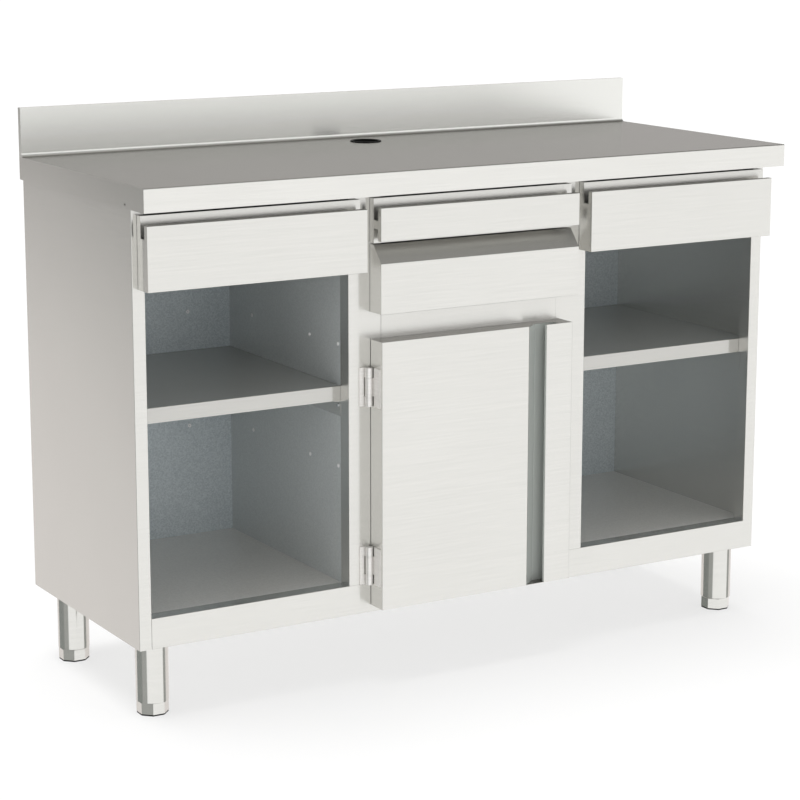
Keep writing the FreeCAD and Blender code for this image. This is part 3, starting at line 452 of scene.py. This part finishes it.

# %% [markdown]
# The worktop is the one piece that people touch and wipe, so it is brushed a little finer, along its
# length. Its streaks are narrow along both Y and Z, because narrow along Z alone they would spread over
# its level face as broad patches. The upstand is part of the same sheet but catches more light, which a
# lighter plain tone paints onto it as painted light: here that tone's box is the upstand with a margin
# round it, so that its outer faces count as inside.

# %% Worktop
FINE = 0.18
UPSTAND_DEPTH = 12 * MM
UPSTAND_HEIGHT = 99 * MM
MARGIN = 3 * MM
worktop_low, worktop_high = (Vector(corner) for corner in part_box("worktop"))
upstand_foot = Vector((worktop_low.x, worktop_high.y - UPSTAND_DEPTH, worktop_high.z - UPSTAND_HEIGHT))
margins = Vector((MARGIN, MARGIN, MARGIN))
# The upstand's lighter tone, #e2e2de, is painted light.
worktop_steel = brushed_steel("brushed_steel_worktop", "#dddcd8", "#d8d7d3", FINE, across="yz",
                              metallic=0.92, level=LEVEL_SHADE, inner_or_lit_tone="#e2e2de", inner_metallic=0.86,
                              inner_or_lit=within(upstand_foot - margins, worktop_high + margins))

# %% [markdown]
# The legs are polished tube, which mirrors the room in narrow stripes. The hinges are tumbled in a
# drum, and the slides and screws are plated with zinc. No scratches run one way on those, so their
# spread is 0. The same function makes all of these finishes, because only its values differ.

# %% Legs, hinges, slides and screws
POLISHED, TUMBLED = 0.12, 0.3
leg_steel = brushed_steel("brushed_steel_leg", LIGHT, DARK, POLISHED, spread=0.7)
hinge_steel = brushed_steel("tumbled_steel_hinge", "#f0eeeb", "#e4e2df", TUMBLED, spread=0.0,
                            metallic=0.55)
zinc_plate = brushed_steel("zinc_plated_steel", "#c8ccce", "#b8bcc0", SATIN, spread=0.0)
# The rivet nuts' finish is plain white and not metallic, a painted highlight for the glint on their
# flanges.
highlight_white_zinc = brushed_steel("zinc_plated_steel_painted_highlight", "#ffffff", "#f8f8f8", TUMBLED, spread=0.0,
                            metallic=0.0)

# %% [markdown]
# ## Dull sheet
#
# The inner sheets are never brushed. They keep the faintly mottled skin that the rolling mill leaves,
# and the back is galvanised sheet, whose zinc has set in small crystals. A Voronoi texture draws such
# crystals, because each of its cells has one flat value. Both scatter light much more widely than the
# brushed faces, so they are hardly metallic and show their own tone.

# %% Mill-finish and galvanised sheet
MOTTLE = 2.5 * MM
CRYSTALS_FROM, CRYSTALS_TO = 0.3, 1.7
REAR_FACING = 0.5
DULL_METALLIC = 0.3


def plain_sheet(name, light, dark, roughness, back_shade_tone=None):
    """Sheet with fine crystals or mottling between two tones, and a painted shade that darkens the side
    that looks back.
    """
    material, tree, shader = new_material(name)
    place = place_on_part(tree)
    cells = add_node(tree, "ShaderNodeTexVoronoi", {"Vector": place, "Scale": 1 / MOTTLE}).outputs["Color"]
    crystal = add_node(tree, "ShaderNodeSeparateColor", {"Color": cells}).outputs["Red"]
    clouded = calculate(tree, "ADD", crystal, clouds_on(tree, place))
    colour = mix(tree, ramp(tree, clouded, CRYSTALS_FROM, CRYSTALS_TO), linear(dark), linear(light))
    # The back tone is painted shade: the same sheet is darker on the face that looks back.
    if back_shade_tone:
        back = calculate(tree, "GREATER_THAN", facing_of(tree, "Y"), REAR_FACING)
        colour = paint_shade(tree, back, colour, back_shade_tone)
    shader.inputs["Metallic"].default_value = DULL_METALLIC
    shader.inputs["Roughness"].default_value = roughness
    tree.links.new(colour, shader.inputs["Base Color"])
    print(name, "runs from", dark, "to", light)
    return material


# The galvanised back is light on its face in the bays, as painted light for them, and a painted shade
# darkens its face that looks back.
zinc_sheet = plain_sheet("galvanised_sheet", "#dde5e9", "#b8c2c7", roughness=0.45, back_shade_tone="#cfcdc9")
mill_sheet = plain_sheet("mill_finish_steel_sheet", "#d4d8d8", "#c4c8c8", roughness=0.35)
# The bays' floor sheet is a lighter copy of the mill finish, painted light for the light that reaches the
# floors of the bays.
lit_bottom_sheet = plain_sheet("mill_finish_steel_bottom_painted_light", "#eeece8", "#dedcd8", roughness=0.3)

# %% [markdown]
# ## Black plastic
#
# The cable grommet, the door catch and the pads under the feet are moulded in black plastic. At the
# usual specular level their flat faces would mirror the white room at a low angle and turn grey, so
# it is set low, and the hole in the worktop stays black.

# %% Moulded black plastic
PLASTIC_TONE = "#0e0e0d"
PLASTIC_ROUGHNESS = 0.6
PLASTIC_SPECULAR = 0.15
plastic, _, plastic_shader = new_material("moulded_black_plastic")
plastic_shader.inputs["Base Color"].default_value = linear(PLASTIC_TONE)
plastic_shader.inputs["Roughness"].default_value = PLASTIC_ROUGHNESS
plastic_shader.inputs["Specular IOR Level"].default_value = PLASTIC_SPECULAR
print(plastic.name, "is", PLASTIC_TONE)

# %% [markdown]
# ## Dressing the solids
#
# The record of the part names a slot for each node, such as satin_front, and most nodes take their
# slot's finish. A few of one slot look different on the real counter, because they are inner sheets
# or show an inside, and they are named one by one.

# %% Give each solid its finish
FINISHES = {"satin_front": front_steel, "satin_carcass": carcass_steel, "satin_worktop": worktop_steel,
            "zinc_back_sheet": zinc_sheet, "leg_steel": leg_steel, "hinge_steel": hinge_steel,
            "zinc_plated": zinc_plate, "black_plastic": plastic}
OWN_FINISH = {"left_partition": mill_sheet, "right_partition": mill_sheet, "floor_sheet": lit_bottom_sheet,
              "door_inner_panel": mill_sheet, "door_skin": door_steel, "door_handle": door_steel,
              "left_shelf": shaded_shelf_steel, "right_shelf": shaded_shelf_steel}
slot_of = {part["node"]: part["material_slot"] for part in frame["record"]["subparts"]}
for name, solid in nodes.items():
    solid.data.materials.clear()
    solid.data.materials.append(OWN_FINISH.get(name) or FINISHES[slot_of[name]])
print(len(nodes) - len(OWN_FINISH), "nodes have their slot's finish, and", len(OWN_FINISH), "their own")

# %% [markdown]
# ## Small pieces
#
# The solids give the cable grommet, the rivet nuts and the screws as plain discs. Up close the real
# ones have rounded rims, bores and sockets, which a bump could only hint at. So each kind is modelled
# once, at the origin and pointing up, and its copies are set where the solids are. Every one of them
# starts as a cylinder.

# %% Start and finish a piece
NEAR = 0.01 * MM
SMOOTH_BELOW = 35


def open_cylinder(corners, radius, height):
    """Stands a cylinder on the origin with nothing else selected, and opens it in edit mode."""
    bpy.ops.object.select_all(action="DESELECT")
    bpy.ops.mesh.primitive_cylinder_add(vertices=corners, radius=radius, depth=height,
                                        location=(0, 0, height / 2))
    bpy.ops.object.transform_apply(location=True, rotation=True, scale=True)
    bpy.ops.object.mode_set(mode="EDIT")
    return bpy.context.active_object


def finish_piece(piece, name, finish):
    """Leaves edit mode with a clean mesh, and gives the piece its name, shading and finish."""
    bpy.ops.mesh.select_all(action="SELECT")
    bpy.ops.mesh.remove_doubles(threshold=NEAR)
    bpy.ops.mesh.normals_make_consistent(inside=False)
    bpy.ops.object.mode_set(mode="OBJECT")
    bpy.ops.object.shade_smooth_by_angle(angle=math.radians(SMOOTH_BELOW))
    piece.name = name
    piece.data.materials.append(finish)
    print(name, "has", len(piece.data.polygons), "faces")
    return piece


print("Points nearer than", NEAR / MM, "mm are one, and edges under", SMOOTH_BELOW, "degrees are smooth")

# %% [markdown]
# In the viewport the next step is to click on a face or a rim. A script has no mouse, and the numbers
# of faces change with every cut, so faces and rims are picked by where they are and how they look.

# %% Pick faces and rims
LOOKS_LEVEL = 0.9


def pick(piece, kind, wanted):
    """Selects the faces or the edges of a piece for which wanted says yes, and nothing else."""
    bpy.ops.mesh.select_mode(type=kind)
    bpy.ops.mesh.select_all(action="DESELECT")
    shape = bmesh.from_edit_mesh(piece.data)
    for item in shape.faces if kind == "FACE" else shape.edges:
        item.select_set(wanted(item))
    bmesh.update_edit_mesh(piece.data)


def pick_faces(piece, height, way):
    """Selects the level faces at one height that look up (1) or down (-1)."""
    pick(piece, "FACE", lambda face: (abs(face.calc_center_median().z - height) < NEAR
                                      and face.normal.z * way > LOOKS_LEVEL))


def pick_rims(piece, height, *radii):
    """Selects the edges that run round at one height and at one of the radii."""
    def wanted(edge):
        ends = [vertex.co for vertex in edge.verts]
        level = all(abs(end.z - height) < NEAR for end in ends)
        return level and any(all(abs(end.to_2d().length - radius) < NEAR for end in ends)
                             for radius in radii)
    pick(piece, "EDGE", wanted)


# %% [markdown]
# A grommet and a rivet nut are the same form in two sizes: a flange with a bore, and a sleeve below
# it. It could be spun from a profile, but worked from a cylinder it shows how each face comes about.
# The top is inset and sunk to the bore, the underside is inset and sunk to the sleeve, and where the
# two meet below they are bridged. A screw's head only has its top inset and sunk, for the socket.

# %% Collar and screw head
COLLAR_RIM_STEPS, SCREW_RIM_STEPS = 4, 3


def sink(down):
    """Pushes the selected face down and leaves its wall."""
    bpy.ops.mesh.extrude_region_move(TRANSFORM_OT_translate={"value": (0, 0, -down)})


def collar(name, finish, radius, height, bore, sleeve, depth, soft, corners):
    """A round flange with a bore, a sleeve below it and soft rims."""
    piece = open_cylinder(corners, radius, height)
    pick_faces(piece, height, 1)
    bpy.ops.mesh.inset(thickness=radius - bore)
    sink(height + depth)
    pick_faces(piece, 0, -1)
    bpy.ops.mesh.inset(thickness=radius - sleeve)
    sink(depth)
    pick(piece, "FACE", lambda face: (len(face.verts) == corners
                                      and abs(face.calc_center_median().z + depth) < NEAR))
    bpy.ops.mesh.bridge_edge_loops()
    pick_rims(piece, height, radius, bore)
    bpy.ops.mesh.bevel(offset=soft, segments=COLLAR_RIM_STEPS)
    return finish_piece(piece, name, finish)


def screw_head(name, finish, corners, radius, height, socket, socket_depth, soft):
    """A screw's head, with a soft upper rim and a socket in it."""
    piece = open_cylinder(corners, radius, height)
    pick_faces(piece, height, 1)
    bpy.ops.mesh.inset(thickness=radius - socket)
    sink(socket_depth)
    pick_rims(piece, height, radius)
    bpy.ops.mesh.bevel(offset=soft, segments=SCREW_RIM_STEPS)
    return finish_piece(piece, name, finish)


# %% [markdown]
# The cable grommet keeps cables off the edge of the hole that is cut in the worktop. Its flange lies
# on the sheet and its sleeve lines the hole, and its rims are soft, which is what catches the light.
# Its size comes from the solid that it takes the place of.

# %% Cable grommet
GROMMET_FLANGE = 2.5 * MM
GROMMET_BORE = 27.5 * MM
GROMMET_SLEEVE = 29.8 * MM
low, high = (Vector(corner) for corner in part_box("cable_grommet"))
grommet = collar("cable_grommet_ring", plastic, radius=(high.x - low.x) / 2, height=GROMMET_FLANGE,
                 bore=GROMMET_BORE, sleeve=GROMMET_SLEEVE, depth=high.z - low.z - GROMMET_FLANGE,
                 soft=0.9 * MM, corners=72)
grommet.data.transform(Matrix.Translation(((low.x + high.x) / 2, (low.y + high.y) / 2,
                                           high.z - GROMMET_FLANGE)))
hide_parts("cable_grommet")
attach(grommet, "carcass")

# %% [markdown]
# A node of the frame holds all its screws in one mesh. Their places could be typed in again, but they
# would be wrong as soon as a size changes. So a copy of that mesh is cut into its loose parts, each
# part is measured, and the copy is thrown away. The node's own mesh is never touched.

# %% Find the solids of a node
PLACES = 4


def solids_of(node):
    """The lowest and highest corner of each separate solid in a node, from a merged copy of its mesh,
    in an order that only depends on where they are."""
    copy = nodes[node].copy()
    copy.data = nodes[node].data.copy()
    bpy.context.scene.collection.objects.link(copy)
    bpy.ops.object.select_all(action="DESELECT")
    copy.select_set(True)
    bpy.context.view_layer.objects.active = copy
    bpy.ops.object.mode_set(mode="EDIT")
    bpy.ops.mesh.select_all(action="SELECT")
    bpy.ops.mesh.remove_doubles(threshold=NEAR)
    bpy.ops.mesh.separate(type="LOOSE")
    bpy.ops.object.mode_set(mode="OBJECT")
    boxes = []
    for part in list(bpy.context.selected_objects):
        points = [part.matrix_world @ vertex.co for vertex in part.data.vertices]
        boxes.append((Vector([min(point[axis] for point in points) for axis in range(3)]),
                      Vector([max(point[axis] for point in points) for axis in range(3)])))
        bpy.data.objects.remove(part)
    return sorted(boxes, key=lambda box: tuple(round(value, PLACES) for value in box[0]))


# %% [markdown]
# A disc of the frame doesn't say which way it looks, but its thinnest side tells the axis, and the
# rest follows from where it stands. Each copy gets a mesh of its own, and its turn and place go into
# that mesh, so that its object stays at the origin. Copies that share one mesh would be lighter, but
# they couldn't do that.


# %% Set the copies
def facing(low, high):
    """Which way a disc looks: forwards, down, or sideways into the bay that it stands beside."""
    thin = min(range(3), key=lambda axis: high[axis] - low[axis])
    if thin == 0:
        return Vector((1 if low.x > 0 else -1, 0, 0))
    return Vector((0, -1, 0)) if thin == 1 else Vector((0, 0, -1))


def set_copies(pattern, node, proud):
    """Sets a copy of the pattern on every solid of a node, which it replaces. Its seat is where the
    solid's own seat is, or where its face is if the pattern stands proud of that."""
    for count, (low, high) in enumerate(solids_of(node), 1):
        way = facing(low, high)
        middle, half = (low + high) / 2, (high - low) / 2
        reach = abs(half.dot(way))
        copy = pattern.copy()
        copy.data = pattern.data.copy()
        copy.name = f"{pattern.name}_{count:02d}"
        bpy.context.scene.collection.objects.link(copy)
        turn = way.to_track_quat("Z", "Y").to_matrix().to_4x4()
        copy.data.transform(Matrix.Translation(middle + way * (reach if proud else -reach)) @ turn)
        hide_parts(node)
        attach(copy, "carcass")
    bpy.data.objects.remove(pattern)
    print(node, "has", count, "copies")


# %% [markdown]
# A screw can't hold in sheet this thin, so rivet nuts are pressed into the inner sheets, in more rows than
# the shelves need, so that they can be moved. Each shows a thin round flange with the thread's bore in it,
# painted plain white as a highlight against the dull sheet.

# %% Rivet nuts
nut = collar("rivet_nut", highlight_white_zinc, radius=4 * MM, height=0.5 * MM, bore=1.6 * MM, sleeve=2.9 * MM,
             depth=1.2 * MM, soft=0.2 * MM, corners=24)
set_copies(nut, "shelf_inserts", proud=True)

# %% [markdown]
# The shelf bearers' screws have a low hexagon head. Those under the bottom sheet hold the leg plates
# and have a larger one. Both get six corners and a round of soft edges on top, as a forged head has.

# %% Screws
bearer_screw = screw_head("bearer_screw", zinc_plate, corners=6, radius=3.5 * MM, height=2.2 * MM,
                          socket=1.9 * MM, socket_depth=0.6 * MM, soft=0.35 * MM)
set_copies(bearer_screw, "bearer_screws", proud=False)
plate_screw = screw_head("plate_screw", zinc_plate, corners=6, radius=5 * MM, height=4 * MM,
                         socket=3 * MM, socket_depth=0.6 * MM, soft=0.5 * MM)
set_copies(plate_screw, "plate_screws", proud=False)

# %% [markdown]
# ## Last step
#
# The Standard view transform keeps every tone as it was set, where a filmic one would grey the white
# backdrop. The small pieces stay inside the solids' outline.

# %% View transform
bpy.context.scene.view_settings.view_transform = "Standard"
